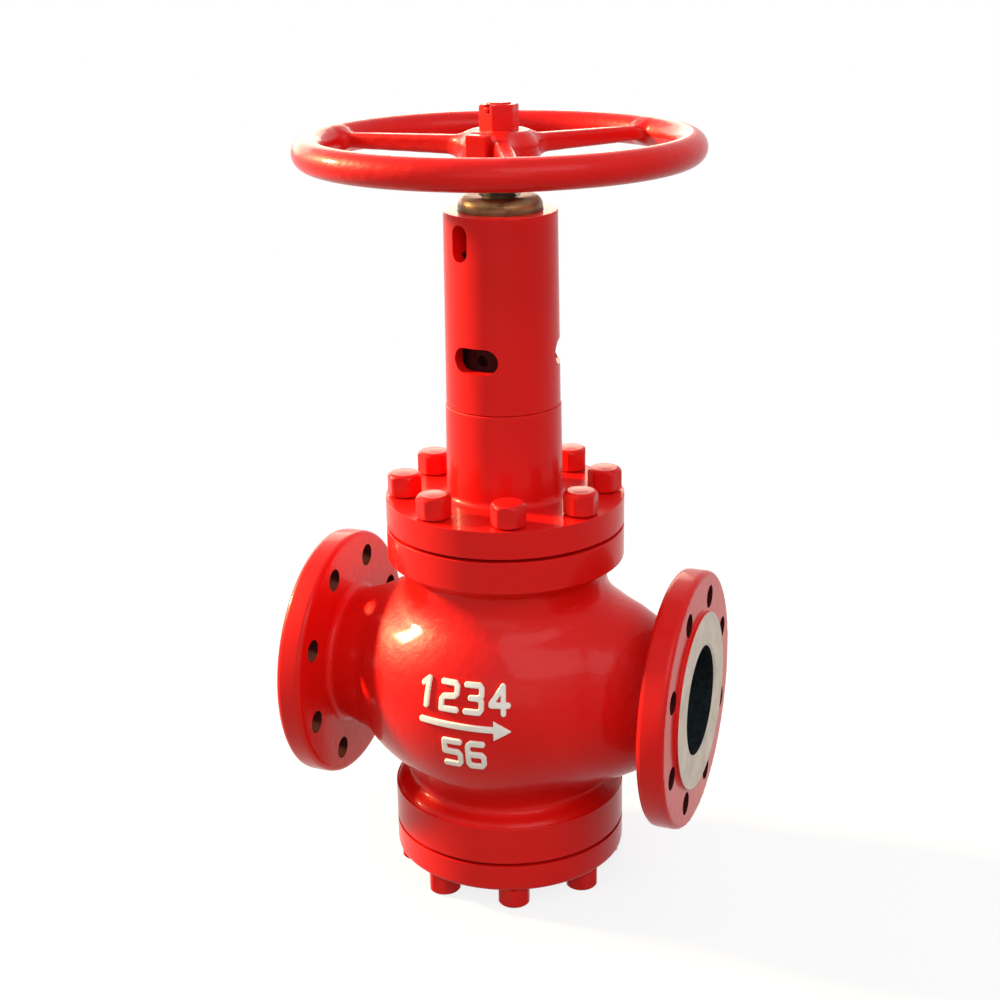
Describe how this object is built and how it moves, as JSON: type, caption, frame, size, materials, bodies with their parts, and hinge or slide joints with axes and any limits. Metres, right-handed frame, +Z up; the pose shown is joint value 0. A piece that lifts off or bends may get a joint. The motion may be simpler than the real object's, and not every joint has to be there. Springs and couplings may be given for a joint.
{
  "type": "globe valve",
  "caption": "Flanged globe valve with a rounded cast body, bolted bonnet and bottom cover, windowed tubular yoke, bronze stem nut and spoked handwheel.",
  "frame": {"origin": "on the stem axis, level with the tips of the lower studs that the valve stands on", "axes": "+Z up along the stem axis, +X along the pipe in the flow direction, +Y towards the back, away from the picture's viewer"},
  "size_m": [0.318, 0.3, 0.6102],
  "materials": {
    "red_paint": "glossy red paint over cast and machined steel",
    "turned_steel": "turned bare steel",
    "bronze": "turned bronze, slightly tarnished",
    "graphite": "matt graphite sheet and pressed graphite rings"
  },
  "bodies": {
    "valve": {"bonnet": "red_paint", "bonnet_gasket": "graphite", "bonnet_nut_1": "red_paint", "bonnet_nut_2": "red_paint", "bonnet_nut_3": "red_paint", "bonnet_nut_4": "red_paint", "bonnet_nut_5": "red_paint", "bonnet_nut_6": "red_paint", "bonnet_nut_7": "red_paint", "bonnet_nut_8": "red_paint", "bonnet_stud_1": "turned_steel", "bonnet_stud_2": "turned_steel", "bonnet_stud_3": "turned_steel", "bonnet_stud_4": "turned_steel", "bonnet_stud_5": "turned_steel", "bonnet_stud_6": "turned_steel", "bonnet_stud_7": "turned_steel", "bonnet_stud_8": "turned_steel", "bottom_cover": "red_paint", "cover_gasket": "graphite", "cover_nut_1": "red_paint", "cover_nut_2": "red_paint", "cover_nut_3": "red_paint", "cover_nut_4": "red_paint", "cover_nut_5": "red_paint", "cover_nut_6": "red_paint", "cover_nut_7": "red_paint", "cover_nut_8": "red_paint", "cover_stud_1": "turned_steel", "cover_stud_2": "turned_steel", "cover_stud_3": "turned_steel", "cover_stud_4": "turned_steel", "cover_stud_5": "turned_steel", "cover_stud_6": "turned_steel", "cover_stud_7": "turned_steel", "cover_stud_8": "turned_steel", "gland_follower": "bronze", "lower_guide_bush": "bronze", "lower_seat_ring": "turned_steel", "packing_base_ring": "turned_steel", "packing_nut": "turned_steel", "packing_ring_1": "graphite", "packing_ring_2": "graphite", "packing_ring_3": "graphite", "packing_ring_4": "graphite", "stem_nut": "bronze", "stem_nut_grub_screw": "turned_steel", "upper_guide_bush": "bronze", "upper_seat_ring": "turned_steel", "valve_body": "red_paint", "yoke_tube": "red_paint"},
    "plug": {"throttle_plug": "turned_steel", "plug_retaining_ring": "turned_steel", "stem_thrust_washer": "bronze"},
    "stem_and_wheel": {"stem": "turned_steel", "handwheel": "red_paint", "hub_lock_screw": "red_paint", "wheel_nut": "red_paint", "wheel_nut_pin": "turned_steel"}
  },
  "joints": [
    {"name": "plug_lift", "type": "slide", "parent": "valve", "child": "plug", "axis": [0, 0, 1], "range_m": [0, 0.0251]},
    {"name": "handwheel_turn", "type": "hinge", "parent": "plug", "child": "stem_and_wheel", "pos_m": [0, 0, 0.5779], "axis": [0, 0, 1], "range_deg": [0, 1800]}
  ],
  "couplings": [
    {"joint": "plug_lift", "follows": "handwheel_turn", "m_per_rad": 0.00079577}
  ]
}
